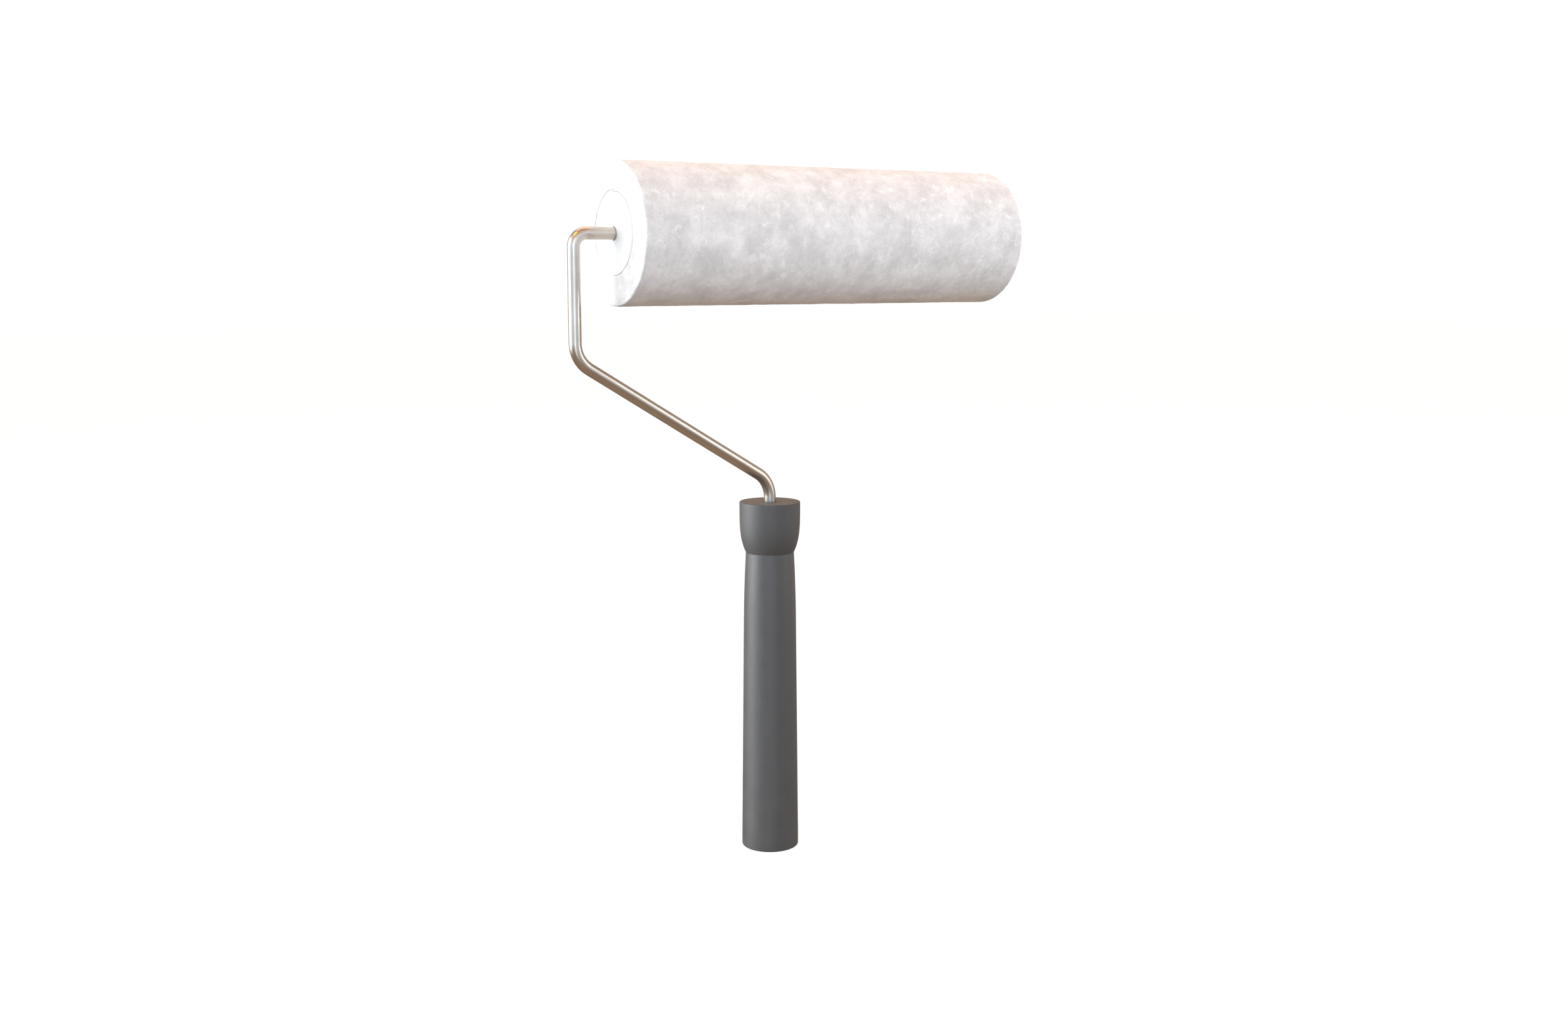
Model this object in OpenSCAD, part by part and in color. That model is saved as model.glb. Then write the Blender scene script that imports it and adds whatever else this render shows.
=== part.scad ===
// Paint roller. A bent steel rod, pinned in a moulded handle, is the axle of a cage of
// spring wires, and a fleece cover slides over the cage.
// The origin is at the mouth of the handle's pole socket. Z runs up the handle, and X runs
// along the roller's axis, away from the rod's upright.

/* [Cover] */
// Length of the nap
nap_length = 230; // [200:1:270]
// Outer diameter of the nap
nap_diameter = 72; // [56:0.5:84]
// Bevel clipped along both ends of the nap
nap_bevel = 1; // [0.4:0.1:3]
// Bore of the core tube
core_bore = 38.1; // [38.1:0.1:42]
// Wall of the core tube
core_wall = 1.5; // [1:0.1:2.5]
// How far the pile overhangs the core tube at each end
pile_overhang = 2; // [1.6:0.1:3]

/* [Bent rod] */
// Diameter of the rod
rod_diameter = 6.35; // [6:0.05:7.4]
// Height of the roller's axis above the bottom of the handle
axis_height = 330; // [310:1:360]
// Distance from the handle's axis to the rod's upright
upright_reach = 111.4; // [100:0.1:130]
// Distance from the upright to the near end of the nap
upright_gap = 21.7; // [16:0.1:30]
// Height where the slanting stretch would meet the handle's axis
lower_elbow_height = 201; // [200:0.1:215]
// Height where the slanting stretch would meet the upright
upper_elbow_height = 268; // [255:0.1:285]
// Bend radius of both elbows
elbow_radius = 15; // [8:0.5:16]
// Bend radius between the upright and the axle
top_radius = 7; // [5:0.1:14]

/* [Handle] */
// Height of the handle with its collar
handle_height = 190; // [180:1:192]
// Height of the flared collar
collar_height = 27.3; // [22:0.1:32]
// Diameter of the collar's flat top
collar_diameter = 32.5; // [29:0.1:38]
// Diameter where the collar meets the grip
neck_diameter = 25.8; // [25:0.1:28]
// Diameter at the bottom of the grip
grip_diameter = 30.8; // [29:0.1:36]
// Bore of the pole socket
socket_bore = 19; // [16:0.1:20]
// Depth of the pole socket
socket_depth = 32; // [20:1:36]

/* [Cage] */
// Diameter of the cage over its end caps and over its bowed wires
cage_diameter = 37.5; // [37:0.1:37.5]
// Diameter of the spring wires
wire_diameter = 2; // [1.4:0.1:2]
// Radius of the circle of wires at the end caps
wire_circle = 14.6; // [14:0.1:14.8]
// Depth of the end caps
cap_depth = 16; // [14:1:20]

/* [Hidden] */

$fn = 96;
// Facets of a full turn on the wires' long bow, of which a wire uses a few degrees
bow_fn = 256;

// Gap between moulded parts that sit in each other
seat_gap = 0.05;
// Radial clearance of the bushings on the axle
running_gap = 0.05;
// Radial clearance of loose rings on the axle
loose_gap = 0.1;
// Length added to a cutting tool past each face that it opens
past = 1;
// How far a straight stretch laps over a bend, and how much thinner the bend is
bend_lap = 0.1;
bend_thinning = 0.06;

// Cover
nap_start = upright_gap - upright_reach;
nap_end = nap_start + nap_length;
nap_radius = nap_diameter / 2;
core_start = nap_start + pile_overhang;
core_end = nap_end - pile_overhang;
core_bore_radius = core_bore / 2;
core_radius = core_bore_radius + core_wall;

// Rod
rod_radius = rod_diameter / 2;
rod_chamfer = 0.8;
tang_bottom = 64;
pin_height = 110;
pin_radius = 1.5;
pin_length = 20.6;

// Cage, from the rod's side to the free end
cage_radius = cage_diameter / 2;
cage_start = nap_start;
cage_setback = 2;
cage_end = core_end - cage_setback;
cap_wall = 1.9;
cap_web = 2;
cap_inner_face = core_start + cap_depth;
cap_outer_face = cage_end - cap_depth;
hub_radius = 7.5;
bushing_radius = 5.5;
// How far the inner cap's hub stands out of its face, and the outer bushing out of its hub
hub_stand = 1.5;
bushing_stand = 0.6;
rib_thickness = 1.4;
// Bevel round the outer cap's free end, which leads the cover on
cap_nose = 1.6;
flange_inset = 0.2;
flange_radius = core_radius - flange_inset;
// Depth that the inner cap's walls root into its flange
flange_root = 0.8;
axle_hole_gap = 0.3;
axle_hole_radius = rod_radius + axle_hole_gap;
boss_radius = 2.7;
wire_radius = wire_diameter / 2;
wire_gap = 0.03;
wire_count = 5;
wire_seat = 10;

// Thrust parts at the free end of the axle
pocket_radius = 6.8;
pocket_wall = 2;
pocket_floor = cage_end - 5.5;
bushing_outer_start = pocket_floor - 12.5;
thrust_gap = 0.3;
washer_thickness = 1;
washer_radius = 6;
ring_length = 4;
ring_radius = 5.6;
nut_radius = 5.8;
nut_thickness = 0.6;
nut_dish = 0.7;
nut_slit = 0.8;
nut_rim = 1;
plug_lip = 1.4;
plug_flange = 1.5;
plug_bevel = 1;
plug_skirt = 2.4;
plug_wall = 1.3;
axle_tip = cage_end - 1.2;

// Spider and the bow of the wires
bow_inset = 1;
bow_start = cap_inner_face + bow_inset;
bow_end = cap_outer_face - bow_inset;
bow_middle = (bow_start + bow_end) / 2;
bow_radius = cage_radius - wire_radius;
bow_angle = 2 * atan((bow_radius - wire_circle) / (bow_middle - bow_start));
bow_lead_radius = 10;
bow_easing = 15;
spider_thickness = 4;
spider_step = 0.5;
spider_hub_length = 9;
spider_hub_radius = 6.2;
spider_rim = [13.2, 15.8];
spider_finger = [16.2, 2.4];

// Handle
collar_bottom = handle_height - collar_height;
socket_radius = socket_bore / 2;
socket_shell = 2.6;
socket_floor = 4;
socket_top = socket_depth + socket_floor;
grip_bore_radius = 10.5;
grip_edge = 0.8;
shoulder_share = 0.775;
shoulder_bottom = shoulder_share * collar_bottom;
shoulder_drop = 0.8;
core_body_radius = grip_bore_radius - seat_gap;
core_post_radius = 6;
core_fins = 6;
core_fin_thickness = 1.8;
core_disc_thickness = 2.5;
core_discs = 5;
spigot_radius = 8.4;
spigot_top = handle_height - 3.5;
collar_edge = 0.5;
collar_power = 4;
// Crowds the steps of the collar's outline toward the neck, where it curves most
collar_crowding = 1.6;
profile_steps = 12;

// Radius of the straight taper of the grip at height z, before its rounded shoulder
grip_taper_end = neck_diameter / 2 + shoulder_drop;
function taper_radius(z) =
  grip_diameter / 2 + (grip_taper_end - grip_diameter / 2) * z / collar_bottom;

// Outline of the grip from its bottom edge to the neck
function grip_outline() = concat(
  [[grip_diameter / 2 - grip_edge, 0], [grip_diameter / 2, grip_edge]],
  [for (i = [0 : profile_steps])
    let (t = i / profile_steps, z = shoulder_bottom + (collar_bottom - shoulder_bottom) * t)
    [taper_radius(z) - shoulder_drop * t * t, z]]
);

// Outline of the bell-shaped collar from the neck to its flat top
function collar_outline() = concat(
  [for (i = [0 : profile_steps])
    let (t = pow(i / profile_steps, collar_crowding),
         z = collar_bottom + (collar_height - collar_edge) * t)
    [(collar_diameter - (collar_diameter - neck_diameter) * pow(1 - t, collar_power)) / 2, z]],
  [[collar_diameter / 2 - collar_edge, handle_height]]
);

// A bar's path is a list of [x, height] points: its start, its corners and its end.
// The bend at corner i has radius radii[i - 1]. The straights lap a little way over the bends,
// which are a hair thinner, so that all of them join into one solid.
function bar_heading(path, i) = atan2(path[i + 1].y - path[i].y, path[i + 1].x - path[i].x);
function bar_turn(path, i) = bar_heading(path, i) - bar_heading(path, i - 1);
function bar_tangent(path, radii, i) = radii[i - 1] * tan(abs(bar_turn(path, i)) / 2);
function direction(angle) = [cos(angle), sin(angle)];
function bend_centre(path, radii, i) =
  path[i]
  - bar_tangent(path, radii, i) * direction(bar_heading(path, i - 1))
  + sign(bar_turn(path, i)) * radii[i - 1] * direction(bar_heading(path, i - 1) + 90);

// Stands children in the plane of the bent rod, with their Y axis up
module in_rod_plane(point) {
  translate([point.x, 0, point.y]) rotate([90, 0, 0]) children();
}

// One straight stretch of a bar, between the bends at its ends
module bar_straight(path, radii, i, d) {
  last = len(path) - 2;
  angle = bar_heading(path, i);
  trim_start = i == 0 ? 0 : bar_tangent(path, radii, i) - bend_lap;
  trim_end = i == last ? 0 : bar_tangent(path, radii, i + 1) - bend_lap;
  run = norm(path[i + 1] - path[i]) - trim_start - trim_end;
  in_rod_plane(path[i] + trim_start * direction(angle))
    rotate([0, 90, angle]) cylinder(h = run, d = d);
}

// One bend of a bar, an exact piece of a torus
module bar_bend(path, radii, i, d, fn) {
  low = min(bar_heading(path, i - 1), bar_heading(path, i));
  in_rod_plane(bend_centre(path, radii, i))
    rotate([0, 0, low - 90 * sign(bar_turn(path, i))])
      rotate_extrude(angle = abs(bar_turn(path, i)), $fn = fn)
        translate([radii[i - 1], 0]) circle(d = d - bend_thinning);
}

module bent_bar(path, radii, d, fn = $fn) {
  for (i = [0 : len(path) - 2]) bar_straight(path, radii, i, d);
  for (i = [1 : len(path) - 2]) bar_bend(path, radii, i, d, fn);
}

// Turns children so that their Z axis runs along the axle, starting at x
module on_axle(x) {
  translate([x, 0, axis_height]) rotate([0, 90, 0]) children();
}

module axle_cylinder(x_from, x_to, r) {
  on_axle(x_from) cylinder(h = x_to - x_from, r = r);
}

module axle_ring(x_from, x_to, r_out, r_in) {
  difference() {
    axle_cylinder(x_from, x_to, r_out);
    axle_cylinder(x_from - past, x_to + past, r_in);
  }
}

// Repeats children at each wire, where Z is then the distance from the axle
module each_wire(offset = 0) {
  for (i = [0 : wire_count - 1]) at_wire(i, offset) children();
}

module at_wire(i, offset = 0) {
  translate([0, 0, axis_height]) rotate([360 * i / wire_count + offset, 0, 0]) children();
}

// A pin or a drilling along the axle's direction, at a distance from the axle
module axial_post(x_from, x_to, distance, r) {
  translate([x_from, 0, distance]) rotate([0, 90, 0]) cylinder(h = x_to - x_from, r = r);
}

module rod_solid() {
  path = [
    [0, tang_bottom + rod_chamfer],
    [0, lower_elbow_height],
    [-upright_reach, upper_elbow_height],
    [-upright_reach, axis_height],
    [axle_tip - rod_chamfer, axis_height]
  ];
  bent_bar(path, [elbow_radius, elbow_radius, top_radius], rod_diameter);
  translate([0, 0, tang_bottom])
    cylinder(h = rod_chamfer, r1 = rod_radius - rod_chamfer, r2 = rod_radius);
  on_axle(axle_tip - rod_chamfer)
    cylinder(h = rod_chamfer, r1 = rod_radius, r2 = rod_radius - rod_chamfer);
}

module cross_drilling(r) {
  translate([0, 0, pin_height]) rotate([90, 0, 0])
    cylinder(h = grip_diameter, r = r, center = true);
}

module frame_rod() {
  color([0.66, 0.62, 0.57]) difference() {
    rod_solid();
    cross_drilling(pin_radius + seat_gap);
  }
}

module tang_pin() {
  color("silver") translate([0, 0, pin_height]) rotate([90, 0, 0])
    cylinder(h = pin_length, r = pin_radius, center = true);
}

module stop_ring() {
  washer_start = bushing_outer_start - thrust_gap - washer_thickness;
  color("silver")
    axle_ring(washer_start - loose_gap - ring_length, washer_start - loose_gap,
              ring_radius, rod_radius);
}

module thrust_washer(x) {
  color("silver") axle_ring(x, x + washer_thickness, washer_radius, rod_radius + loose_gap);
}

// A dished steel nut whose four tongues bite on the axle
module push_nut() {
  start = pocket_floor + thrust_gap + washer_thickness + loose_gap;
  color("silver") on_axle(start) difference() {
    rotate_extrude() polygon([
      [rod_radius, nut_dish],
      [nut_radius - nut_thickness, 0],
      [nut_radius, 0],
      [nut_radius, nut_thickness],
      [rod_radius, nut_dish + nut_thickness]
    ]);
    for (a = [0 : 90 : 270]) rotate([0, 0, a])
      translate([0, -nut_slit / 2, -past]) cube([nut_radius - nut_rim, nut_slit, 2 * past + nut_dish]);
  }
}

// The ribbed moulding inside the grip, with a spigot that carries the collar
module handle_core() {
  body_height = collar_bottom - socket_top;
  disc_pitch = (body_height - core_disc_thickness) / (core_discs - 1);
  color([0.2, 0.2, 0.21]) difference() {
    union() {
      translate([0, 0, socket_top]) cylinder(h = body_height, r = core_post_radius);
      for (i = [0 : core_discs - 1]) translate([0, 0, socket_top + i * disc_pitch])
        cylinder(h = core_disc_thickness, r = core_body_radius);
      intersection() {
        translate([0, 0, socket_top]) cylinder(h = body_height, r = core_body_radius);
        for (i = [0 : core_fins - 1]) rotate([0, 0, 360 * i / core_fins])
          translate([0, -core_fin_thickness / 2, socket_top])
            cube([grip_bore_radius + past, core_fin_thickness, body_height]);
      }
      translate([0, 0, collar_bottom])
        cylinder(h = spigot_top - collar_bottom, r = spigot_radius);
    }
    translate([0, 0, tang_bottom - past])
      cylinder(h = handle_height, r = rod_radius + seat_gap);
    cross_drilling(pin_radius);
  }
}

module grip_sleeve() {
  color([0.27, 0.27, 0.28]) rotate_extrude() polygon(concat(
    grip_outline(),
    [[grip_bore_radius, collar_bottom],
     [grip_bore_radius, socket_top],
     [socket_radius + socket_shell + seat_gap, socket_top],
     [socket_radius + socket_shell + seat_gap, 0]]
  ));
}

module handle_collar() {
  color([0.29, 0.29, 0.3]) rotate_extrude() polygon(concat(
    collar_outline(),
    [[rod_radius + loose_gap, handle_height],
     [rod_radius + loose_gap, spigot_top],
     [spigot_radius + seat_gap, spigot_top],
     [spigot_radius + seat_gap, collar_bottom]]
  ));
}

module pole_socket() {
  color([0.5, 0.5, 0.52]) difference() {
    cylinder(h = socket_top - seat_gap, r = socket_radius + socket_shell);
    translate([0, 0, -past]) cylinder(h = socket_depth + past, r = socket_radius);
  }
}

// What both end caps share: outer wall, hub, ribs between them and a boss for each wire
module cap_body(x_from, x_to, hub_from, hub_to, hub_r) {
  axle_ring(x_from, x_to, cage_radius, cage_radius - cap_wall);
  axle_cylinder(hub_from, hub_to, hub_r);
  each_wire(180 / wire_count)
    translate([x_from, -rib_thickness / 2, hub_r - past])
      cube([x_to - x_from, rib_thickness, cage_radius - cap_wall - hub_r + 1.5 * past]);
  each_wire() axial_post(x_from, x_to, wire_circle, boss_radius);
}

module cage_cap_inner() {
  root = core_start - flange_root;
  color("whitesmoke") difference() {
    union() {
      cap_body(root, cap_inner_face, root, cap_inner_face + hub_stand, hub_radius);
      axle_cylinder(cage_start, core_start, flange_radius);
    }
    axle_cylinder(cage_start - past, core_start, axle_hole_radius);
    axle_cylinder(core_start - thrust_gap, cap_inner_face + 2 * past, bushing_radius);
    each_wire()
      axial_post(cap_inner_face - wire_seat, cap_inner_face + past, wire_circle,
                 wire_radius + wire_gap);
  }
}

module cage_cap_outer() {
  length = cage_end - bushing_outer_start;
  color("whitesmoke") difference() {
    intersection() {
      union() {
        cap_body(cap_outer_face, cage_end, bushing_outer_start + bushing_stand, cage_end,
                 pocket_radius + pocket_wall);
        axle_cylinder(cage_end - cap_web, cage_end, cage_radius);
      }
      on_axle(bushing_outer_start) rotate_extrude() polygon([
        [0, 0],
        [cage_radius, 0],
        [cage_radius, length - cap_nose],
        [cage_radius - cap_nose, length],
        [0, length]
      ]);
    }
    axle_cylinder(bushing_outer_start, pocket_floor + past, bushing_radius);
    axle_cylinder(pocket_floor, cage_end + past, pocket_radius);
    each_wire()
      axial_post(cap_outer_face - past, cap_outer_face + wire_seat, wire_circle,
                 wire_radius + wire_gap);
  }
}

module bushing_inner() {
  color("ivory")
    axle_ring(core_start - thrust_gap, cap_inner_face + hub_stand, bushing_radius,
              rod_radius + running_gap);
}

module bushing_outer() {
  color("ivory")
    axle_ring(bushing_outer_start, pocket_floor, bushing_radius, rod_radius + running_gap);
}

// A spring wire, straight in its two seats and bowed outward between them
module cage_wire(i) {
  lead = bow_lead_radius * tan(bow_angle / 2);
  half = bow_middle - bow_start;
  corner_rise = tan(bow_angle) * (half - lead);
  path = [
    [cap_inner_face - wire_seat + thrust_gap, wire_circle],
    [bow_start + lead, wire_circle],
    [bow_middle, wire_circle + corner_rise],
    [bow_end - lead, wire_circle],
    [cap_outer_face + wire_seat - thrust_gap, wire_circle]
  ];
  bow_bend_radius = half / sin(bow_angle) - bow_lead_radius - bow_easing;
  color("lightgray") at_wire(i)
    bent_bar(path, [bow_lead_radius, bow_bend_radius, bow_lead_radius], wire_diameter, bow_fn);
}

// Holds the wires apart at the middle of their bow, and turns on the axle with them
module cage_spider() {
  rim = [bow_middle - spider_thickness / 2, bow_middle + spider_thickness / 2];
  spoke = [rim[0] + spider_step, rim[1] - spider_step];
  finger = [rim[0] - spider_step, rim[1] + spider_step];
  notch = wire_diameter + 2 * wire_gap;
  color("whitesmoke") difference() {
    union() {
      axle_cylinder(bow_middle - spider_hub_length / 2, bow_middle + spider_hub_length / 2,
                    spider_hub_radius);
      axle_ring(rim[0], rim[1], spider_rim[1], spider_rim[0]);
      each_wire() {
        translate([spoke[0], -rib_thickness / 2, spider_hub_radius - past])
          cube([spoke[1] - spoke[0], rib_thickness, spider_rim[0] - spider_hub_radius + 2 * past]);
        axial_post(finger[0], finger[1], spider_finger[0], spider_finger[1]);
      }
    }
    axle_cylinder(bow_middle - spider_hub_length, bow_middle + spider_hub_length,
                  rod_radius + running_gap);
    each_wire() translate([finger[0] - past, -notch / 2, bow_radius - notch / 2])
      cube([finger[1] - finger[0] + 2 * past, notch, spider_finger[1] + notch]);
  }
}

// Snaps into the outboard cap's pocket, over the tip of the axle
module end_plug() {
  flange = pocket_radius + plug_flange;
  color("whitesmoke") on_axle(cage_end) difference() {
    union() {
      cylinder(h = plug_lip / 2, r = flange);
      translate([0, 0, plug_lip / 2])
        cylinder(h = plug_lip / 2, r1 = flange, r2 = flange - plug_bevel);
      translate([0, 0, -plug_skirt]) cylinder(h = plug_skirt, r = pocket_radius - seat_gap);
    }
    translate([0, 0, -plug_skirt - past])
      cylinder(h = plug_skirt + past, r = pocket_radius - plug_wall);
  }
}

module core_tube() {
  color("gainsboro") axle_ring(core_start, core_end, core_radius, core_bore_radius);
}

module nap() {
  color([0.93, 0.92, 0.89]) on_axle(nap_start) rotate_extrude() polygon([
    [core_radius, 0],
    [nap_radius - nap_bevel, 0],
    [nap_radius, nap_bevel],
    [nap_radius, nap_length - nap_bevel],
    [nap_radius - nap_bevel, nap_length],
    [core_radius, nap_length]
  ]);
}

frame_rod();
stop_ring();
thrust_washer(bushing_outer_start - thrust_gap - washer_thickness);  // thrust_washer_inner
thrust_washer(pocket_floor + thrust_gap);  // thrust_washer_outer
push_nut();
tang_pin();
handle_core();
grip_sleeve();
handle_collar();
pole_socket();
cage_cap_inner();
cage_cap_outer();
bushing_inner();
bushing_outer();
cage_wire(0);  // cage_wire_1
cage_wire(1);  // cage_wire_2
cage_wire(2);  // cage_wire_3
cage_wire(3);  // cage_wire_4
cage_wire(4);  // cage_wire_5
cage_spider();
end_plug();
core_tube();
nap();
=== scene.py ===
import math

import bpy
import numpy as np
from mathutils import Euler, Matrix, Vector, noise


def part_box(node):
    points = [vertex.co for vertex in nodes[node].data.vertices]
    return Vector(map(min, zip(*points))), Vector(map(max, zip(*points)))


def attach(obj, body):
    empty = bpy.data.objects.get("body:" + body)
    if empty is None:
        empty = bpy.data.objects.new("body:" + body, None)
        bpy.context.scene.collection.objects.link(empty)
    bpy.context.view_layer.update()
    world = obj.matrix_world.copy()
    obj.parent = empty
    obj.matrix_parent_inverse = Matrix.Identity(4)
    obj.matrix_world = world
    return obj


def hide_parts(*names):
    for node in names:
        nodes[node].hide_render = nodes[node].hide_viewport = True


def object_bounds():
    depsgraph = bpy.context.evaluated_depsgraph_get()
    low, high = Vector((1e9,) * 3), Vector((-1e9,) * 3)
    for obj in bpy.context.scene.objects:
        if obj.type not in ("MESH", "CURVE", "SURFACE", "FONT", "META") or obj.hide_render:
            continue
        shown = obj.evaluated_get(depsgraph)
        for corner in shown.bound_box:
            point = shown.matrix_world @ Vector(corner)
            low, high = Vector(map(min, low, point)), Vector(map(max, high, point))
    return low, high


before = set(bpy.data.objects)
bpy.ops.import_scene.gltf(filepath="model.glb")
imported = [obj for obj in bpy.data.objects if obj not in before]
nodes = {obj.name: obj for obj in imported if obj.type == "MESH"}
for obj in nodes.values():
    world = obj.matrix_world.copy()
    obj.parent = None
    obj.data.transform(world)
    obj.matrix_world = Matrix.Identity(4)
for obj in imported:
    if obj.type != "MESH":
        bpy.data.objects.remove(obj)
CAD_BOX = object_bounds()
MM = 0.001

# ---------------------------------------------------------------- sizes the frame gives

ROD_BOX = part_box("frame_rod")
NAP_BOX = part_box("nap")
CORE_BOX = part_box("core_tube")
GRIP_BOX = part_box("grip_sleeve")
COLLAR_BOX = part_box("handle_collar")
SOCKET_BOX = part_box("pole_socket")

CENTRE = (CAD_BOX[0] + CAD_BOX[1]) / 2
AXIS_Z = (NAP_BOX[0].z + NAP_BOX[1].z) / 2
NAP_RADIUS = (NAP_BOX[1].z - NAP_BOX[0].z) / 2
CORE_RADIUS = (CORE_BOX[1].z - CORE_BOX[0].z) / 2
ROD_RADIUS = ROD_BOX[1].z - AXIS_Z
UPRIGHT_X = ROD_BOX[0].x + ROD_RADIUS
HANDLE_TOP = COLLAR_BOX[1].z
NECK_Z = GRIP_BOX[1].z

# Sizes of the CAD source that its boxes don't give
LOWER_ELBOW_Z = 201.0 * MM
UPPER_ELBOW_Z = 268.0 * MM
ELBOW_RADIUS = 15.0 * MM
TOP_RADIUS = 7.0 * MM
ROD_CHAMFER = 0.8 * MM
NECK_RADIUS = 12.9 * MM
SHOULDER_DROP = 0.8 * MM
SHOULDER_SHARE = 0.775
COLLAR_POWER = 4.0
GRIP_BORE = 10.5 * MM
INSERT_BORE = 12.15 * MM
INSERT_TOP = 36.0 * MM
SPIGOT_BORE = 8.45 * MM
SPIGOT_TOP = HANDLE_TOP - 3.5 * MM
SOCKET_BORE = 9.5 * MM
SOCKET_CHAMFER = 0.8 * MM
SOCKET_FLOOR_Z = 32.0 * MM

# The pole's thread: 5 turns an inch
THREAD_PITCH = 5.08 * MM
THREAD_DEPTH = 1.3 * MM

# How far the fleece's lay turns round the cover, in radians for each millimetre along it
HELIX_TURN = 1.15 / (NAP_RADIUS / MM)


# ---------------------------------------------------------------- mesh helpers

def mesh_object(name, vertices, faces):
    mesh = bpy.data.meshes.new(name)
    mesh.from_pydata([tuple(v) for v in vertices], [], [tuple(f) for f in faces])
    mesh.polygons.foreach_set("use_smooth", [True] * len(mesh.polygons))
    mesh.update()
    obj = bpy.data.objects.new(name, mesh)
    bpy.context.scene.collection.objects.link(obj)
    return obj


def grid_faces(rows, columns, closed_rows=False):
    """Quads between rows of points. Each row is a closed ring, and closed_rows joins the last row
    to the first."""
    faces = []
    for i in range(rows if closed_rows else rows - 1):
        a, b = i * columns, (i + 1) % rows * columns
        for j in range(columns):
            k = (j + 1) % columns
            faces.append((a + j, a + k, b + k, b + j))
    return faces


def capped_faces(rows, columns):
    """Quads between open rows, with a face over the first row and one over the last."""
    faces = grid_faces(rows, columns)
    faces.append(tuple(range(columns)))
    faces.append(tuple(reversed(range((rows - 1) * columns, rows * columns))))
    return faces


def face_outward(obj):
    """Flips the faces if the closed mesh is inside out."""
    mesh = obj.data
    mesh.calc_loop_triangles()
    co = np.array([v.co for v in mesh.vertices])
    tri = np.array([t.vertices for t in mesh.loop_triangles])
    a, b, c = co[tri[:, 0]], co[tri[:, 1]], co[tri[:, 2]]
    if np.einsum("ij,ij->i", a, np.cross(b, c)).sum() < 0:
        mesh.flip_normals()


def turned(arm, angle):
    """A 2D vector turned by an angle."""
    c, s = math.cos(angle), math.sin(angle)
    return Vector((arm.x * c - arm.y * s, arm.x * s + arm.y * c))


def rounded(corners, hold=0.06 * MM, steps=5):
    """A closed outline of (along, radius, rounding) corners, with arcs and with points that hold
    the flats beside them."""
    points = []
    count = len(corners)
    for i, (a, r, rounding) in enumerate(corners):
        here = Vector((a, r))
        if rounding <= 0:
            points.append(here)
            continue
        to_before = Vector(corners[i - 1][:2]) - here
        to_after = Vector(corners[(i + 1) % count][:2]) - here
        angle = to_before.angle(to_after)
        cut = min(rounding / math.tan(angle / 2), to_before.length * 0.45, to_after.length * 0.45)
        u, w = to_before.normalized(), to_after.normalized()
        radius = cut * math.tan(angle / 2)
        centre = here + (u + w).normalized() * (radius / math.sin(angle / 2))
        start, end = here + u * cut, here + w * cut
        points.append(start + u * hold)
        first, last = start - centre, end - centre
        turn = first.angle_signed(last)
        points += [centre + turned(first, -turn * k / steps) for k in range(steps + 1)]
        points.append(end + w * hold)
    return points


def lathe(name, outline, segments=128):
    """A closed ring turned about Z from an outline of (along, radius) points."""
    vertices = []
    for a, r in outline:
        for j in range(segments):
            t = 2 * math.pi * j / segments
            vertices.append((r * math.cos(t), r * math.sin(t), a))
    obj = mesh_object(name, vertices, grid_faces(len(outline), segments, True))
    face_outward(obj)
    return obj


def bar_path(points, radii, arc_step, straight_step=4 * MM):
    """Samples a bent bar's centre line in the XZ plane: (place, heading, run) rows."""
    rows = []
    run = 0.0
    corner = [Vector(p) for p in points]
    start = corner[0]
    for i in range(1, len(corner)):
        last = i == len(corner) - 1
        heading = (corner[i] - corner[i - 1]).normalized()
        end = corner[i]
        if not last:
            radius = radii[i - 1]
            out = (corner[i + 1] - corner[i]).normalized()
            turn = heading.angle(out)
            tangent = radius * math.tan(turn / 2)
            end = corner[i] - heading * tangent
        length = (end - start).length
        pieces = max(2, round(length / straight_step))
        for k in range(pieces + last):
            rows.append((start + heading * length * k / pieces, heading,
                         run + length * k / pieces))
        run += length
        if not last:
            side = 1 if heading.x * out.y - heading.y * out.x > 0 else -1
            arm = Vector((heading.y, -heading.x)) * side * radius
            steps = max(6, round(turn / arc_step))
            for k in range(steps):
                t = side * turn * k / steps
                rows.append((end - arm + turned(arm, t), turned(heading, t),
                             run + radius * turn * k / steps))
            run += radius * turn
            start = corner[i] + out * tangent
    return rows


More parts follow.
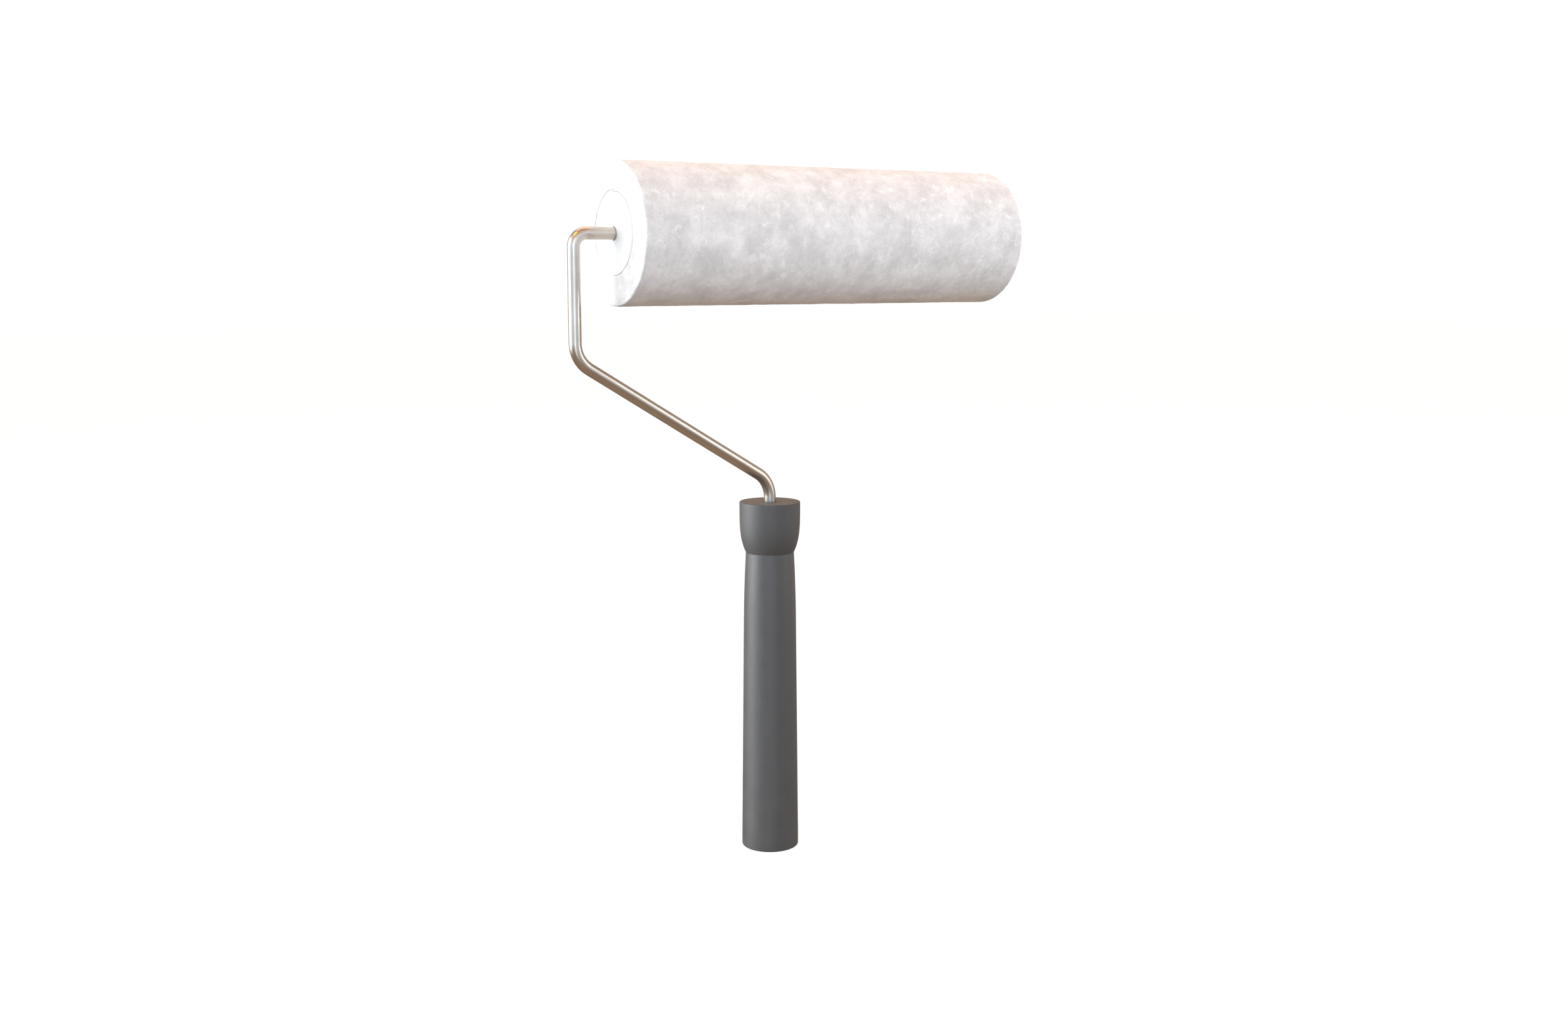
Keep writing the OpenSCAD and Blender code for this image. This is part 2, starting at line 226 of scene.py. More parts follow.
def swept_bar(name, rows, radius, chamfer, segments):
    """A round bar with chamfered ends. Its "straightened" attribute is each point's place on the
    bar before it was bent, for finishes that run lengthwise."""
    vertices, straight = [], []
    hold = 0.05 * MM
    middle = 0.15 * MM
    # (way in from the end, drop below the bar's radius), both as shares of the chamfer
    rim = ((0.35, 0.45), (0.85, 0.07))
    rim_end = 1.2
    clear_of_rim = 1.3

    def ring(place, heading, run, r):
        side = Vector((-heading.y, heading.x))
        for j in range(segments):
            t = 2 * math.pi * j / segments
            u, w = r * math.cos(t), r * math.sin(t)
            vertices.append((place.x + side.x * u, w, place.y + side.y * u))
            straight.append((u, w, run))

    def end_rings(row, inward):
        place, heading, run = row
        face = [(0.0, middle), (0.0, radius - chamfer - hold), (0.0, radius - chamfer)]
        face += [(chamfer * way, radius - chamfer * drop) for way, drop in rim]
        face.append((chamfer * rim_end, radius))
        return [(place + heading * way * inward, heading, run, r) for way, r in face]

    first, last = rows[0], rows[-1]
    rings = end_rings(first, 1)
    rings += [(*row, radius) for row in rows
              if row[2] - first[2] > chamfer * clear_of_rim
              and last[2] - row[2] > chamfer * clear_of_rim]
    rings += reversed(end_rings(last, -1))
    for place, heading, run, r in rings:
        ring(place, heading, run, r)
    obj = mesh_object(name, vertices, capped_faces(len(rings), segments))
    face_outward(obj)
    attribute = obj.data.attributes.new("straightened", "FLOAT_VECTOR", "POINT")
    attribute.data.foreach_set("vector", np.array(straight, np.float32).ravel())
    return obj


# ---------------------------------------------------------------- material helpers

class Finish:
    """A node material under construction. Positions are the object's own, in millimetres."""

    def __init__(self, name, attribute=None):
        self.material = bpy.data.materials.new(name)
        self.material.use_nodes = True
        self.tree = self.material.node_tree
        self.tree.nodes.clear()
        self.shader = self.tree.nodes.new("ShaderNodeBsdfPrincipled")
        out = self.tree.nodes.new("ShaderNodeOutputMaterial")
        self.tree.links.new(self.shader.outputs["BSDF"], out.inputs["Surface"])
        if attribute:
            source = self.node("ShaderNodeAttribute", attribute_name=attribute)
            place = source.outputs["Vector"]
        else:
            place = self.node("ShaderNodeTexCoord").outputs["Object"]
        self.place = self.vector_math("MULTIPLY", place, (1 / MM,) * 3)

    def node(self, kind, **settings):
        made = self.tree.nodes.new(kind)
        for key, value in settings.items():
            setattr(made, key, value)
        return made

    def put(self, socket, value):
        if isinstance(value, bpy.types.NodeSocket):
            self.tree.links.new(value, socket)
        else:
            socket.default_value = value

    def vector_math(self, operation, vector, by):
        made = self.node("ShaderNodeVectorMath", operation=operation)
        self.put(made.inputs[0], vector)
        self.put(made.inputs[1], by)
        return made.outputs[0]

    def math(self, operation, a, b):
        made = self.node("ShaderNodeMath", operation=operation)
        self.put(made.inputs[0], a)
        self.put(made.inputs[1], b)
        return made.outputs[0]

    def weighted(self, *terms):
        """The sum of (socket, weight) terms."""
        total = None
        for socket, weight in terms:
            share = self.math("MULTIPLY", socket, weight)
            total = share if total is None else self.math("ADD", total, share)
        return total

    def noise(self, size, vector=None, detail=2.0, roughness=0.5, distortion=0.0, stretch=None):
        """Noise whose features are about size millimetres across, and stretch times that per
        axis."""
        place = self.place if vector is None else vector
        if stretch:
            place = self.vector_math("MULTIPLY", place, tuple(1 / s for s in stretch))
        made = self.node("ShaderNodeTexNoise")
        self.put(made.inputs["Vector"], place)
        made.inputs["Scale"].default_value = 1 / size
        made.inputs["Detail"].default_value = detail
        made.inputs["Roughness"].default_value = roughness
        made.inputs["Distortion"].default_value = distortion
        return made.outputs["Fac"]

    def ramp(self, value, low, high, out_low=0.0, out_high=1.0):
        made = self.node("ShaderNodeMapRange")
        self.put(made.inputs["Value"], value)
        made.inputs["From Min"].default_value = low
        made.inputs["From Max"].default_value = high
        made.inputs["To Min"].default_value = out_low
        made.inputs["To Max"].default_value = out_high
        return made.outputs["Result"]

    def blend(self, factor, a, b):
        made = self.node("ShaderNodeMix", data_type="RGBA")
        self.put(made.inputs["Factor"], factor)
        self.put(made.inputs[6], a)
        self.put(made.inputs[7], b)
        return made.outputs[2]

    def bump(self, height, distance, strength, below=None):
        """Height 0 to 1 stands for distance millimetres."""
        made = self.node("ShaderNodeBump")
        made.inputs["Strength"].default_value = strength
        made.inputs["Distance"].default_value = distance * MM
        self.put(made.inputs["Height"], height)
        if below is not None:
            self.put(made.inputs["Normal"], below)
        return made.outputs["Normal"]

    def set(self, **values):
        for key, value in values.items():
            self.put(self.shader.inputs[key.replace("_", " ")], value)
        return self.material


def rgb(red, green, blue):
    return (red, green, blue, 1.0)


def grey(level, warmth=0.0):
    return rgb(level * (1 + warmth), level, level * (1 - warmth))


def shade(colour, by):
    return rgb(*(min(channel * by, 1) for channel in colour[:3]))


WHITE = grey(1.0)


def dress(obj, material):
    obj.data.materials.clear()
    obj.data.materials.append(material)


def dress_node(name, material):
    for material_slot in nodes[name].material_slots:
        material_slot.material = material


# ---------------------------------------------------------------- finishes

def satin_steel(name, attribute, colour, roughness, streak):
    """Drawn and brushed steel: fine lengthwise lines and a cloudy tone. The lines are streak
    millimetres wide."""
    f = Finish(name, attribute)

    def lengthwise(factor):
        return (1, 1, factor) if attribute else (factor, 1, 1)

    lines = f.noise(streak, detail=3, stretch=lengthwise(80))
    broad = f.noise(1.1, detail=2, stretch=lengthwise(40))
    cloud = f.noise(9, detail=3)
    tone = f.weighted((lines, 0.35), (broad, 0.3), (cloud, 0.35))
    base = f.blend(f.ramp(tone, 0.38, 0.62), shade(colour, 0.9), shade(colour, 1.07))
    rough = f.ramp(tone, 0.36, 0.64, roughness + 0.03, roughness - 0.03)
    normal = f.bump(broad, 0.002, 0.4)
    return f.set(Base_Color=base, Metallic=1.0, Roughness=rough, Normal=normal)


def moulded_dark(name, level, roughness):
    """Dark moulded plastic with a fine spark-eroded grain, rubbed a little smoother in patches."""
    f = Finish(name)
    fine = f.noise(0.32, detail=3, roughness=0.62)
    mid = f.noise(1.1, detail=2)
    patch = f.noise(14, detail=4, roughness=0.6)
    base = f.blend(f.ramp(patch, 0.35, 0.65), grey(level * 0.93, -0.02), grey(level * 1.07, -0.01))
    base = f.blend(f.ramp(fine, 0.3, 0.75, 0.0, 0.22), base, grey(level * 1.5))
    rough = f.ramp(patch, 0.32, 0.68, roughness - 0.045, roughness + 0.045)
    normal = f.bump(fine, 0.035, 0.55)
    normal = f.bump(mid, 0.05, 0.25, below=normal)
    return f.set(Base_Color=base, Roughness=rough, Normal=normal, Specular_IOR_Level=0.8)


def moulded_white(name, colour, roughness):
    """White moulded plastic with faint flow lines and a soft gloss."""
    f = Finish(name)
    patch = f.noise(7, detail=4, roughness=0.6, distortion=0.6)
    fine = f.noise(0.35, detail=2)
    base = f.blend(f.ramp(patch, 0.35, 0.7), colour, shade(colour, 0.95))
    rough = f.ramp(patch, 0.3, 0.7, roughness - 0.06, roughness + 0.08)
    normal = f.bump(fine, 0.015, 0.4)
    return f.set(Base_Color=base, Roughness=rough, Normal=normal)


def extruded_tube():
    """The core tube: pale extruded plastic with faint lengthwise die lines and specks."""
    f = Finish("core_tube_plastic")
    lines = f.noise(0.3, detail=2, stretch=(120, 1, 1))
    patch = f.noise(11, detail=3)
    specks = f.ramp(f.noise(0.5, detail=1), 0.68, 0.78)
    base = f.blend(f.ramp(patch, 0.35, 0.65), rgb(0.74, 0.74, 0.71), rgb(0.82, 0.82, 0.79))
    base = f.blend(f.math("MULTIPLY", specks, 0.35), base, rgb(0.55, 0.54, 0.5))
    rough = f.ramp(lines, 0.3, 0.7, 0.42, 0.56)
    normal = f.bump(lines, 0.02, 0.5)
    return f.set(Base_Color=base, Roughness=rough, Normal=normal)


def nylon():
    """Bearing nylon: cream, a little waxy, with a fine grain."""
    f = Finish("bushing_nylon")
    patch = f.noise(3, detail=3)
    fine = f.noise(0.25, detail=2)
    base = f.blend(f.ramp(patch, 0.3, 0.7), rgb(0.76, 0.72, 0.62), rgb(0.83, 0.8, 0.71))
    rough = f.ramp(patch, 0.3, 0.7, 0.34, 0.46)
    normal = f.bump(fine, 0.015, 0.4)
    return f.set(Base_Color=base, Roughness=rough, Normal=normal)


def zinc_plate():
    """Zinc-plated small hardware with a spangled gloss and a cloudy tone."""
    f = Finish("hardware_zinc")
    spangle = f.node("ShaderNodeTexVoronoi", feature="F1")
    f.put(spangle.inputs["Vector"], f.place)
    spangle.inputs["Scale"].default_value = 0.9
    tone = f.noise(0.6, detail=3)
    base = f.blend(f.ramp(tone, 0.3, 0.7), rgb(0.5, 0.5, 0.51), rgb(0.68, 0.68, 0.68))
    rough = f.ramp(spangle.outputs["Distance"], 0.0, 1.0, 0.26, 0.42)
    normal = f.bump(tone, 0.01, 0.35)
    return f.set(Base_Color=base, Metallic=1.0, Roughness=rough, Normal=normal)


def fleece_finish():
    """Short matted fleece. Cloudy bright and dull patches, fine fibres lying loosely along a helix
    round the cover, painted sheen on brushed-up tufts, painted glints on loose fibre ends and
    painted shade in the small gaps between fibres."""
    f = Finish("nap_fleece")
    centred = f.vector_math("ADD", f.place, (0.0, 0.0, -AXIS_Z / MM))
    split = f.node("ShaderNodeSeparateXYZ")
    f.put(split.inputs[0], centred)
    # Turning each section of the cover a little further along X lays X-stretched noise on a helix
    drift = f.noise(9, vector=centred, detail=2)
    twist = f.node("ShaderNodeVectorRotate", rotation_type="X_AXIS")
    f.put(twist.inputs["Vector"], centred)
    f.put(twist.inputs["Angle"], f.weighted((split.outputs["X"], HELIX_TURN), (drift, 0.9)))
    laid = twist.outputs[0]

    cloud = f.noise(15, vector=centred, detail=7, roughness=0.68)
    wisp = f.noise(4.5, vector=laid, detail=5, roughness=0.7, stretch=(2.2, 1, 1))
    fibre = f.noise(0.5, vector=laid, detail=3, roughness=0.7, distortion=0.4,
                    stretch=(3.2, 1, 1))
    grain = f.noise(0.6, vector=centred, detail=4, roughness=0.75, distortion=0.8)
    fuzz = f.weighted((fibre, 0.45), (grain, 0.55))

    tone = f.weighted((cloud, 0.6), (wisp, 0.2), (fuzz, 0.2))
    base = f.blend(f.ramp(tone, 0.41, 0.60), grey(0.69), grey(0.91))
    # Painted sheen: small white clusters where the tufts are brushed up
    painted_sheen = f.noise(7, vector=centred, detail=8, roughness=0.74, distortion=0.3)
    base = f.blend(f.ramp(painted_sheen, 0.54, 0.68, 0.0, 0.9), base, WHITE)
    # Painted glints: white where loose fibre ends would catch the light, mostly where the pile is
    # brushed up
    painted_glints = f.math("MULTIPLY", f.ramp(fuzz, 0.53, 0.64), f.ramp(cloud, 0.42, 0.6, 0.35, 0.95))
    base = f.blend(painted_glints, base, WHITE)
    # Painted shade in the small gaps between the fibres
    base = f.blend(f.ramp(fuzz, 0.46, 0.34, 0.0, 0.5), base, rgb(0.56, 0.555, 0.555))

    normal = f.bump(cloud, 1.2, 0.25)
    normal = f.bump(wisp, 0.3, 0.25, below=normal)
    normal = f.bump(fuzz, 0.2, 0.8, below=normal)
    return f.set(Base_Color=base, Roughness=0.95, Normal=normal, Sheen_Weight=0.1,
                 Sheen_Roughness=0.6, Specular_IOR_Level=0.1)


# ---------------------------------------------------------------- pieces

def make_rod():
    path = [(0.0, ROD_BOX[0].z), (0.0, LOWER_ELBOW_Z), (UPRIGHT_X, UPPER_ELBOW_Z),
            (UPRIGHT_X, AXIS_Z), (ROD_BOX[1].x, AXIS_Z)]
    rows = bar_path(path, [ELBOW_RADIUS, ELBOW_RADIUS, TOP_RADIUS], math.radians(3.5))
    piece = swept_bar("rod", rows, ROD_RADIUS, ROD_CHAMFER, segments=72)
    steel = satin_steel("rod_steel", "straightened", rgb(0.60, 0.545, 0.48), 0.31, streak=0.4)
    dress(piece, steel)
    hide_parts("frame_rod")
    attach(piece, "frame")
    return piece


def make_grip():
    """The grip sleeve: a slow taper, a slight shoulder under the neck, and rounded ends."""
    bottom = (GRIP_BOX[1].x - GRIP_BOX[0].x) / 2
    taper_end = NECK_RADIUS + SHOULDER_DROP
    edge = 0.02 * MM
    corners = [(GRIP_BOX[0].z, INSERT_BORE, 0.25 * MM),
               (GRIP_BOX[0].z, bottom - 0.1 * MM, 0.8 * MM)]
    steps = 40
    for i in range(1, steps):
        z = NECK_Z * i / steps
        corners.append((z, grip_radius(z, bottom, taper_end), 0.0))
    corners += [(NECK_Z - edge, grip_radius(NECK_Z, bottom, taper_end), 0.15 * MM),
                (NECK_Z - edge, GRIP_BORE, 0.0),
                (INSERT_TOP, GRIP_BORE, 0.0),
                (INSERT_TOP, INSERT_BORE, 0.0)]
    piece = lathe("grip", rounded(corners))
    dress(piece, moulded_dark("grip_plastic", 0.062, 0.49))
    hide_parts("grip_sleeve")
    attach(piece, "frame")
    return piece


def grip_radius(z, bottom, taper_end):
    share = z / NECK_Z
    shoulder = max(0.0, (share - SHOULDER_SHARE) / (1 - SHOULDER_SHARE))
    return bottom + (taper_end - bottom) * share - SHOULDER_DROP * shoulder ** 2


def make_collar():
    """The flared collar: a cup that widens quickly above the neck, with a flat top round the
    rod."""
    top = (COLLAR_BOX[1].x - COLLAR_BOX[0].x) / 2
    body = HANDLE_TOP - NECK_Z
    rod_hole = ROD_RADIUS + 0.1 * MM
    crowding = 1.6
    steps = 36
    corners = []
    for i in range(steps):
        t = (i / steps) ** crowding
        r = top - (top - NECK_RADIUS) * (1 - t) ** COLLAR_POWER
        corners.append((NECK_Z + body * t, r, 0.12 * MM if i == 0 else 0.0))
    corners += [(HANDLE_TOP, top, 0.45 * MM),
                (HANDLE_TOP, rod_hole, 0.25 * MM),
                (SPIGOT_TOP, rod_hole, 0.0),
                (SPIGOT_TOP, SPIGOT_BORE, 0.0),
                (NECK_Z, SPIGOT_BORE, 0.0)]
    piece = lathe("collar", rounded(corners))
    dress(piece, moulded_dark("collar_plastic", 0.061, 0.55))
    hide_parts("handle_collar")
    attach(piece, "frame")
    return piece


def smooth_step(low, high, value):
    t = min(1.0, max(0.0, (value - low) / (high - low)))
    return t * t * (3 - 2 * t)


def thread_lift(z, turn):
    """How far the pole thread stands into the bore, fading out at the mouth and at the floor."""
    wave = 0.5 + 0.5 * math.cos(2 * math.pi * (z / THREAD_PITCH - turn))
    ridge = smooth_step(0.3, 0.72, wave)
    lead_in = smooth_step(1.2 * MM, 4.0 * MM, z)
    run_out = smooth_step(SOCKET_FLOOR_Z - 1.0 * MM, SOCKET_FLOOR_Z - 3.5 * MM, z)
    return THREAD_DEPTH * ridge * lead_in * run_out


def make_socket(material):
    """The pole socket's insert, with the coarse thread that takes an extension pole."""
    segments = 120
    shell = (SOCKET_BOX[1].x - SOCKET_BOX[0].x) / 2
    top = SOCKET_BOX[1].z
    middle = SOCKET_BORE * 0.05
    hold = 0.08 * MM
    round_off, round_mid = 0.25 * MM, 0.07 * MM
    mouth = SOCKET_BORE + SOCKET_CHAMFER
    wall_rows = 170
    wall_top = SOCKET_FLOOR_Z - 0.4 * MM
    wall = wall_top - SOCKET_CHAMFER
    # Rows of (z, radius, whether the thread is cut there), from the floor round to the top
    rows = [(SOCKET_FLOOR_Z, middle, False),
            (SOCKET_FLOOR_Z, SOCKET_BORE - 0.4 * MM, False),
            (SOCKET_FLOOR_Z - 0.1 * MM, SOCKET_BORE - 0.1 * MM, False)]
    rows += [(SOCKET_CHAMFER + wall * (1 - k / wall_rows), SOCKET_BORE, True)
             for k in range(wall_rows + 1)]
    rows += [(hold, mouth - hold, False),
             (0.0, mouth + hold, False),
             (0.0, shell - round_off, False),
             (round_mid, shell - round_mid, False),
             (round_off, shell, False),
             (top - round_off, shell, False),
             (top - round_mid, shell - round_mid, False),
             (top, shell - round_off, False),
             (top, middle, False)]
    vertices = []
    for z, r, threaded in rows:
        for j in range(segments):
            turn = j / segments
            lifted = r - thread_lift(z, turn) if threaded else r
            angle = 2 * math.pi * turn
            vertices.append((lifted * math.cos(angle), lifted * math.sin(angle), z))
    piece = mesh_object("threaded_socket", vertices, capped_faces(len(rows), segments))
    face_outward(piece)
    dress(piece, material)
    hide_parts("pole_socket")
    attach(piece, "frame")


def pile_height(x, y, z):
    """How far the pile stands off its mean surface, in metres."""
    p = Vector((x, y, z)) / MM
    turn = p.x * HELIX_TURN
    c, s = math.cos(turn), math.sin(turn)
    laid = Vector((p.x / 1.5, p.y * c - p.z * s, p.y * s + p.z * c))
    broad = noise.fractal(p / 15 + Vector((3.1, 0.0, 7.7)), 1.0, 2.0, 2)
    swirl = noise.fractal(laid / 4.2 + Vector((0.0, 11.3, 2.9)), 0.9, 2.1, 3)
    tuft = noise.fractal(p / 1.8 + Vector((5.9, 1.7, 0.0)), 0.7, 2.0, 2)
    return (-0.2 + 0.15 * broad + 0.04 * swirl + 0.11 * tuft) * MM


def nap_end_rows(x, out, bevel):
    """The rows of one end of the nap, from its backing out to the start of its side. Out is -1 or
    1, the way that the end faces along X."""
    inset = 0.3 * MM
    start = CORE_RADIUS + 1.0 * MM
    face_rows = 18
    bevel_rows = 4
    rows = [(x - out * inset, CORE_RADIUS + lift, 0.0, (out, 0))
            for lift in (0.06 * MM, 0.5 * MM, 0.95 * MM)]
    for k in range(face_rows):
        r = start + (NAP_RADIUS - bevel - start) * k / (face_rows - 1)
        rows.append((x, r, min(1.0, 0.35 + 0.1 * k), (out, 0)))
    for k in range(1, bevel_rows + 1):
        t = math.pi / 2 * k / (bevel_rows + 1)
        rows.append((x - out * bevel * (1 - math.cos(t)),
                     NAP_RADIUS - bevel + bevel * math.sin(t), 1.0,
                     (out * math.cos(t), math.sin(t))))
    return rows


def make_nap():
    """The fleece as one closed sleeve, with real unevenness down to the size of a tuft."""
    segments = 276
    x0, x1 = NAP_BOX[0].x, NAP_BOX[1].x
    bevel = 1.1 * MM
    side = x1 - x0 - 2 * bevel
    side_rows = round(side / (2 * math.pi * NAP_RADIUS / segments))
    bore_rows = 24
    bore = CORE_RADIUS + 0.06 * MM
    # Rows of (x, radius, how much the pile moves there, direction of the pile)
    rows = nap_end_rows(x0, -1, bevel)
    rows += [(x0 + bevel + side * k / side_rows, NAP_RADIUS, 1.0, (0, 1))
             for k in range(side_rows + 1)]
    rows += reversed(nap_end_rows(x1, 1, bevel))
    rows += [(x1 + (x0 - x1) * k / bore_rows, bore, 0.0, (0, -1)) for k in range(1, bore_rows)]

    vertices = []
    for x, r, loose, (out_x, out_r) in rows:
        for j in range(segments):
            t = 2 * math.pi * j / segments
            c, s = math.cos(t), math.sin(t)
            lift = loose * pile_height(x, r * s, r * c) if loose else 0.0
            lifted = r + out_r * lift
            vertices.append((x + out_x * lift, lifted * s, AXIS_Z + lifted * c))
    piece = mesh_object("fleece_nap", vertices, grid_faces(len(rows), segments, True))
    face_outward(piece)
    dress(piece, fleece_finish())
    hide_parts("nap")
    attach(piece, "cover")
    return piece


rod = make_rod()
grip = make_grip()
collar = make_collar()
nap = make_nap()

WHITE_PARTS = ("cage_cap_inner", "cage_cap_outer", "cage_spider", "end_plug")
white = moulded_white("cap_plastic", rgb(0.88, 0.89, 0.885), 0.42)
for part in WHITE_PARTS:
    dress_node(part, white)
bearing = nylon()
for part in ("bushing_inner", "bushing_outer"):
    dress_node(part, bearing)
spring = satin_steel("spring_steel", None, rgb(0.56, 0.56, 0.57), 0.24, streak=0.3)
for number in range(1, 6):
    dress_node(f"cage_wire_{number}", spring)
zinc = zinc_plate()
for part in ("stop_ring", "thrust_washer_inner", "thrust_washer_outer", "push_nut", "tang_pin"):
    dress_node(part, zinc)
inner_dark = moulded_dark("inner_plastic", 0.05, 0.5)
dress_node("handle_core", inner_dark)
make_socket(inner_dark)
dress_node("core_tube", extruded_tube())


# ---------------------------------------------------------------- floor, light and camera

VIEW_AZIMUTH = -31.61
VIEW_ELEVATION = 8.314
VIEW_DISTANCE = 0.8735
VIEW_LENS = 37.25
AIM_OFFSET = Vector((-2.82, 1.85, 2.9)) * MM
FRONT_AZIMUTH = -35


def direction(azimuth, elevation):
    a, e = math.radians(azimuth), math.radians(elevation)
    return Vector((math.sin(a) * math.cos(e), -math.cos(a) * math.cos(e), math.sin(e)))


def make_floor():
    """A plain pale floor. It is bright enough to read as white, and shows a faint soft shadow."""
    half = 8.0
    drop = 0.3 * MM
    floor = mesh_object("floor", [(-half, -half, 0), (half, -half, 0), (half, half, 0),
                                  (-half, half, 0)], [(0, 1, 2, 3)])
    floor.location.z = -drop
    material = bpy.data.materials.new("floor_paper")
    material.use_nodes = True
    shader = material.node_tree.nodes["Principled BSDF"]
    shader.inputs["Base Color"].default_value = grey(0.3)
    shader.inputs["Roughness"].default_value = 0.95
    shader.inputs["Specular IOR Level"].default_value = 0.0
    shader.inputs["Emission Color"].default_value = WHITE
    shader.inputs["Emission Strength"].default_value = 0.85
    floor.data.materials.append(material)
    floor.visible_diffuse = False
    floor.visible_glossy = False
    floor.visible_shadow = False


def make_world():
    """Light from all round. On the photograph's side it is brown below, cool and bright just over
    the horizon, and warm overhead. Behind it is dimmer and brown. The camera sees plain white."""
    world = bpy.data.worlds.new("studio")
    bpy.context.scene.world = world
    world.use_nodes = True
    tree = world.node_tree
    tree.nodes.clear()
    place = tree.nodes.new("ShaderNodeTexCoord")
    split = tree.nodes.new("ShaderNodeSeparateXYZ")
    tree.links.new(place.outputs["Generated"], split.inputs[0])
    height = tree.nodes.new("ShaderNodeMapRange")
    height.inputs["From Min"].default_value = -1.0
    tree.links.new(split.outputs["Z"], height.inputs["Value"])

    def gradient(*bands):
        """Colours by height: 0 is straight down, 0.5 the horizon and 1 straight up."""
        ramp = tree.nodes.new("ShaderNodeValToRGB")
        tree.links.new(height.outputs["Result"], ramp.inputs["Fac"])
        ramp.color_ramp.elements[0].position = bands[0][0]
        ramp.color_ramp.elements[1].position = bands[-1][0]
        for position, _ in bands[1:-1]:
            ramp.color_ramp.elements.new(position)
        for element, (_, colour) in zip(ramp.color_ramp.elements, bands):
            element.color = colour
        return ramp.outputs["Color"]

    front = gradient((0.0, rgb(0.41, 0.295, 0.215)), (0.08, rgb(0.37, 0.262, 0.20)),
                     (0.25, rgb(0.34, 0.24, 0.17)), (0.42, rgb(0.27, 0.175, 0.10)),
                     (0.48, rgb(0.96, 1.145, 1.42)), (0.62, rgb(1.09, 1.325, 1.62)),
                     (0.76, rgb(1.00, 0.85, 0.74)), (1.0, rgb(0.76, 0.45, 0.29)))
    back = gradient((0.0, rgb(0.42, 0.31, 0.22)), (0.08, rgb(0.34, 0.24, 0.165)),
                    (0.3, rgb(0.25, 0.17, 0.11)), (0.46, rgb(0.45, 0.41, 0.38)),
                    (0.7, rgb(0.53, 0.46, 0.41)), (1.0, rgb(0.68, 0.41, 0.28)))
    toward = tree.nodes.new("ShaderNodeVectorMath")
    toward.operation = "DOT_PRODUCT"
    toward.inputs[1].default_value = direction(FRONT_AZIMUTH, 0)
    tree.links.new(place.outputs["Generated"], toward.inputs[0])
    side = tree.nodes.new("ShaderNodeMapRange")
    side.interpolation_type = "SMOOTHSTEP"
    side.inputs["From Min"].default_value = -0.3
    side.inputs["From Max"].default_value = 0.9
    tree.links.new(toward.outputs["Value"], side.inputs["Value"])
    blend = tree.nodes.new("ShaderNodeMix")
    blend.data_type = "RGBA"
    tree.links.new(side.outputs["Result"], blend.inputs["Factor"])
    tree.links.new(back, blend.inputs[6])
    tree.links.new(front, blend.inputs[7])
    room = tree.nodes.new("ShaderNodeBackground")
    tree.links.new(blend.outputs[2], room.inputs["Color"])
    paper = tree.nodes.new("ShaderNodeBackground")
    paper.inputs["Color"].default_value = WHITE
    paper.inputs["Strength"].default_value = 1.05
    rays = tree.nodes.new("ShaderNodeLightPath")
    mix = tree.nodes.new("ShaderNodeMixShader")
    tree.links.new(rays.outputs["Is Camera Ray"], mix.inputs["Fac"])
    tree.links.new(room.outputs["Background"], mix.inputs[1])
    tree.links.new(paper.outputs["Background"], mix.inputs[2])
    out = tree.nodes.new("ShaderNodeOutputWorld")
    tree.links.new(mix.outputs["Shader"], out.inputs["Surface"])


def softbox(name, azimuth, elevation, distance, size, watts, colour, reach=None):
    """An area light aimed at the object. Azimuth and elevation are in degrees, distance and size
    in metres. With reach, it lights only those pieces."""
    back = direction(azimuth, elevation)
    light = bpy.data.lights.new(name, "AREA")
    light.shape = "RECTANGLE"
    light.size, light.size_y = size
    light.energy = watts
    light.color = colour
    lamp = bpy.data.objects.new(name, light)
    bpy.context.scene.collection.objects.link(lamp)
    lamp.location = CENTRE + back * distance
    lamp.rotation_mode = "QUATERNION"
    lamp.rotation_quaternion = (-back).to_track_quat("-Z", "Y")
    if reach:
        reached = bpy.data.collections.new(name + "_reach")
        for piece in reach:
            reached.objects.link(piece)
        lamp.light_linking.receiver_collection = reached


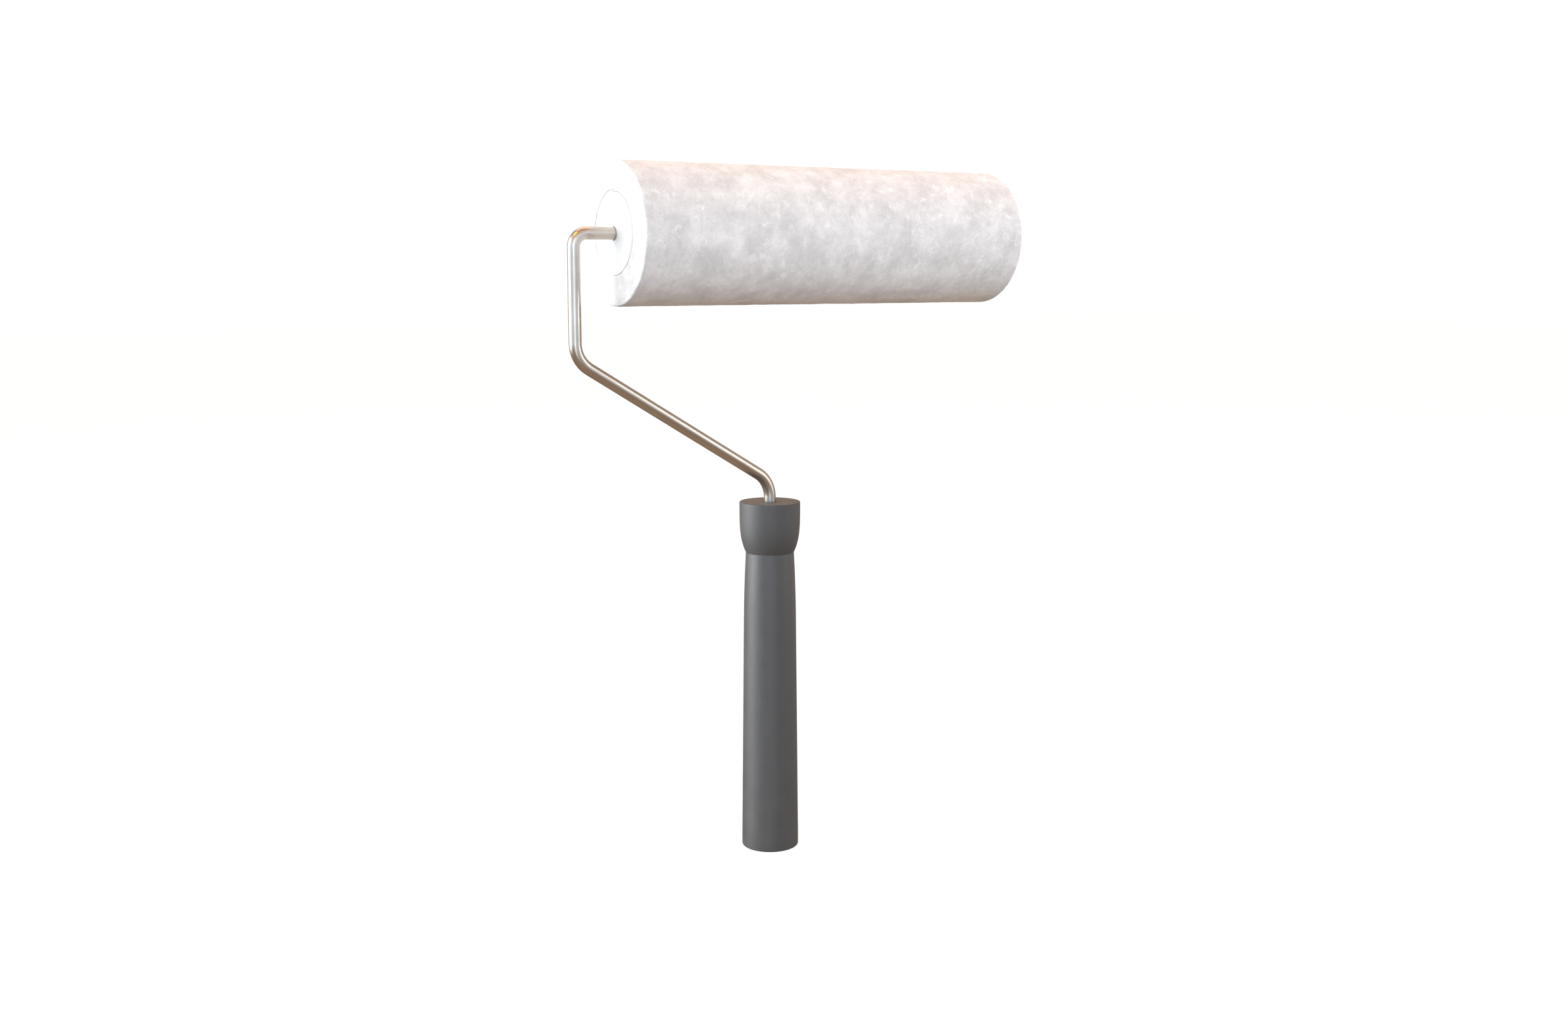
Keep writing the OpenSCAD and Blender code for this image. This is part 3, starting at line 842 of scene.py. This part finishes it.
def make_lights():
    """A large key from the left, a tall front light, a narrow one from the right and a warm one
    overhead. The others each reach some pieces only, and even out what these leave too dark. No
    two are in the same place, because coinciding area lights lose light."""
    handle = [grip, collar]
    white_nodes = [nodes[name] for name in WHITE_PARTS]
    cover_and_cage = [nap, *white_nodes, nodes["core_tube"]]
    softbox("key", -114, 14, 1.3, (1.2, 1.2), 12.5, (0.93, 1.02, 1.05))
    softbox("handle_key", -116, 10, 1.3, (0.9, 1.2), 13.5, (0.97, 0.985, 1.0), handle)
    softbox("cover_key", -110, 12, 1.2, (0.9, 0.9), 3.4, (0.97, 1.0, 1.02), [nap, *white_nodes])
    softbox("back_fill", 184, 4, 1.7, (0.8, 0.8), 6.0, (0.6, 0.82, 1.1), cover_and_cage)
    softbox("front", -27, 6, 1.7, (0.6, 1.5), 4.3, (0.91, 1.025, 1.10))
    softbox("cover_fill", 32, 36, 0.7, (0.4, 0.4), 0.58, (0.98, 1.01, 1.04), [nap])
    softbox("gold", -88, 60, 1.3, (0.18, 0.18), 1.3, (1.0, 0.76, 0.03), [rod])
    softbox("end_fill", 92, 2, 1.7, (0.8, 0.8), 9.0, (0.82, 0.98, 1.12), cover_and_cage)
    softbox("side", 50, 13, 1.7, (0.42, 1.0), 5.1, (1.0, 0.965, 0.92))
    softbox("top", 150, 66, 1.5, (1.4, 0.7), 6.5, (1.0, 0.70, 0.54))
    softbox("handle_rim", 148, 26, 1.6, (1.0, 0.7), 1.3, (1.0, 0.5, 0.22), handle)
    softbox("handle_side", 90, 6, 1.7, (1.0, 1.2), 2.2, (1.0, 0.97, 0.94), handle)


def make_camera():
    """The photograph's viewpoint."""
    camera = bpy.data.objects.new("camera", bpy.data.cameras.new("camera"))
    bpy.context.scene.collection.objects.link(camera)
    camera.data.sensor_fit = "HORIZONTAL"
    camera.data.sensor_width = 36.0
    camera.data.lens = VIEW_LENS
    camera.data.clip_start = 0.05
    camera.location = CENTRE + AIM_OFFSET + direction(VIEW_AZIMUTH, VIEW_ELEVATION) * VIEW_DISTANCE
    camera.rotation_euler = Euler((math.radians(90 - VIEW_ELEVATION), 0.0,
                                   math.radians(VIEW_AZIMUTH)))
    bpy.context.scene.camera = camera


make_floor()
make_world()
make_lights()
make_camera()
bpy.context.scene.view_settings.view_transform = "Standard"
bpy.context.scene.view_settings.look = "None"
